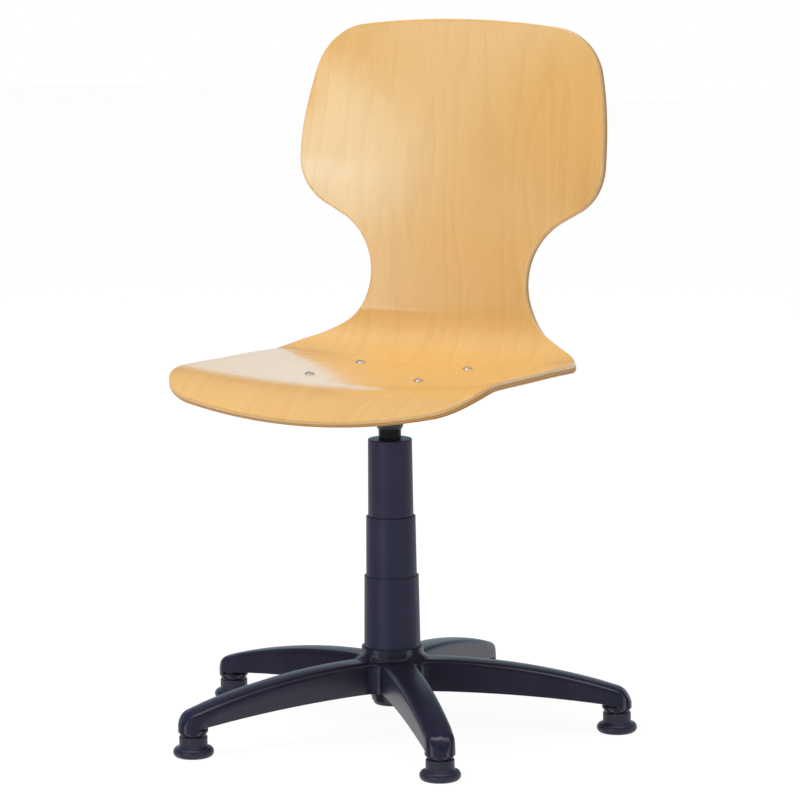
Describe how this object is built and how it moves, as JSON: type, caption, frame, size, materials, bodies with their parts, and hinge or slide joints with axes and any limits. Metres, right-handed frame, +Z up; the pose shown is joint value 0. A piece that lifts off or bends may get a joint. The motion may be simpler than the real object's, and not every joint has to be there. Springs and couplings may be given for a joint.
{
  "type": "swivel office chair",
  "caption": "Height-adjustable swivel chair: waisted moulded plywood seat shell on a gas column with a telescopic cover and a five-arm base on fixed glides.",
  "frame": {"origin": "on the floor, under the middle of the base's footprint; the column's axis is 23 mm behind the middle, at y = -0.023", "axes": "+Z up, -Y the way the sitter faces, +X to the sitter's left"},
  "size_m": [0.5821, 0.5632, 0.8743],
  "materials": {
    "beech_ply": "moulded beech plywood under a satin clear lacquer",
    "base_plastic": "glass-filled nylon, dark blue-grey, fine satin grain",
    "cover_plastic": "polypropylene, dark blue-grey, satin",
    "black_steel": "steel, black powder coat",
    "zinc_steel": "steel, bright zinc plate",
    "bright_steel": "hardened and ground steel",
    "rubber": "moulded rubber, matt black",
    "acetal": "acetal, natural white, smooth",
    "brass": "turned brass"
  },
  "bodies": {
    "base": {"base_star": "base_plastic", "column_tube": "black_steel", "guide_bush": "acetal", "race_lower": "bright_steel", "cover_bottom": "cover_plastic", "grip_rings": "zinc_steel"},
    "spindle": {"piston_rod": "bright_steel", "piston": "brass", "piston_seal": "rubber", "race_upper": "bright_steel", "rubber_buffer": "rubber", "clip_washer": "zinc_steel", "retaining_clip": "zinc_steel"},
    "bearing_cage": {"ball_cage": "acetal", "bearing_balls": "bright_steel"},
    "seat": {"seat_shell": "beech_ply", "seat_bolts": "zinc_steel", "bolt_washers": "zinc_steel", "bolt_nuts": "zinc_steel", "seat_pads": "rubber", "seat_plate": "black_steel", "taper_socket": "black_steel", "lever_bracket": "black_steel", "lever_pivot_pin": "zinc_steel", "gas_cylinder": "black_steel", "valve_body": "brass", "rod_guide": "acetal", "guide_seal": "rubber", "cover_top": "cover_plastic"},
    "lever": {"height_lever": "zinc_steel", "lever_grip": "cover_plastic"},
    "valve": {"valve_pin": "bright_steel"},
    "middle_cover": {"cover_middle": "cover_plastic"},
    "glide_body_1": {"glide_1": "base_plastic", "glide_pin_1": "zinc_steel"},
    "glide_body_2": {"glide_2": "base_plastic", "glide_pin_2": "zinc_steel"},
    "glide_body_3": {"glide_3": "base_plastic", "glide_pin_3": "zinc_steel"},
    "glide_body_4": {"glide_4": "base_plastic", "glide_pin_4": "zinc_steel"},
    "glide_body_5": {"glide_5": "base_plastic", "glide_pin_5": "zinc_steel"}
  },
  "joints": [
    {"name": "swivel", "type": "hinge", "parent": "base", "child": "spindle", "pos_m": [0, -0.023, 0.05], "axis": [0, 0, 1], "continuous": true},
    {"name": "cage_turn", "type": "hinge", "parent": "base", "child": "bearing_cage", "pos_m": [0, -0.023, 0.05], "axis": [0, 0, 1], "continuous": true},
    {"name": "seat_height", "type": "slide", "parent": "spindle", "child": "seat", "axis": [0, 0, 1], "range_m": [-0.1, 0]},
    {"name": "cover_slide", "type": "slide", "parent": "base", "child": "middle_cover", "axis": [0, 0, 1], "range_m": [-0.05, 0]},
    {"name": "lever_lift", "type": "hinge", "parent": "seat", "child": "lever", "pos_m": [-0.025, -0.023, 0.4233], "axis": [0, 1, 0], "range_deg": [0, 7], "stiffness_Nm_per_rad": 20},
    {"name": "valve_press", "type": "slide", "parent": "seat", "child": "valve", "axis": [0, 0, -1], "range_m": [0, 0.0032]},
    {"name": "glide_turn_1", "type": "hinge", "parent": "base", "child": "glide_body_1", "pos_m": [0.1743, -0.24213, 0.02], "axis": [0, 0, 1], "continuous": true},
    {"name": "glide_turn_2", "type": "hinge", "parent": "base", "child": "glide_body_2", "pos_m": [0.26227, 0.07506, 0.02], "axis": [0, 0, 1], "continuous": true},
    {"name": "glide_turn_3", "type": "hinge", "parent": "base", "child": "glide_body_3", "pos_m": [-0.01221, 0.25673, 0.02], "axis": [0, 0, 1], "continuous": true},
    {"name": "glide_turn_4", "type": "hinge", "parent": "base", "child": "glide_body_4", "pos_m": [-0.26982, 0.05183, 0.02], "axis": [0, 0, 1], "continuous": true},
    {"name": "glide_turn_5", "type": "hinge", "parent": "base", "child": "glide_body_5", "pos_m": [-0.15454, -0.25649, 0.02], "axis": [0, 0, 1], "continuous": true}
  ],
  "couplings": [
    {"joint": "cage_turn", "follows": "swivel", "ratio": 0.5},
    {"joint": "cover_slide", "follows": "seat_height", "ratio": 0.5},
    {"joint": "valve_press", "follows": "lever_lift", "m_per_rad": 0.0255}
  ]
}
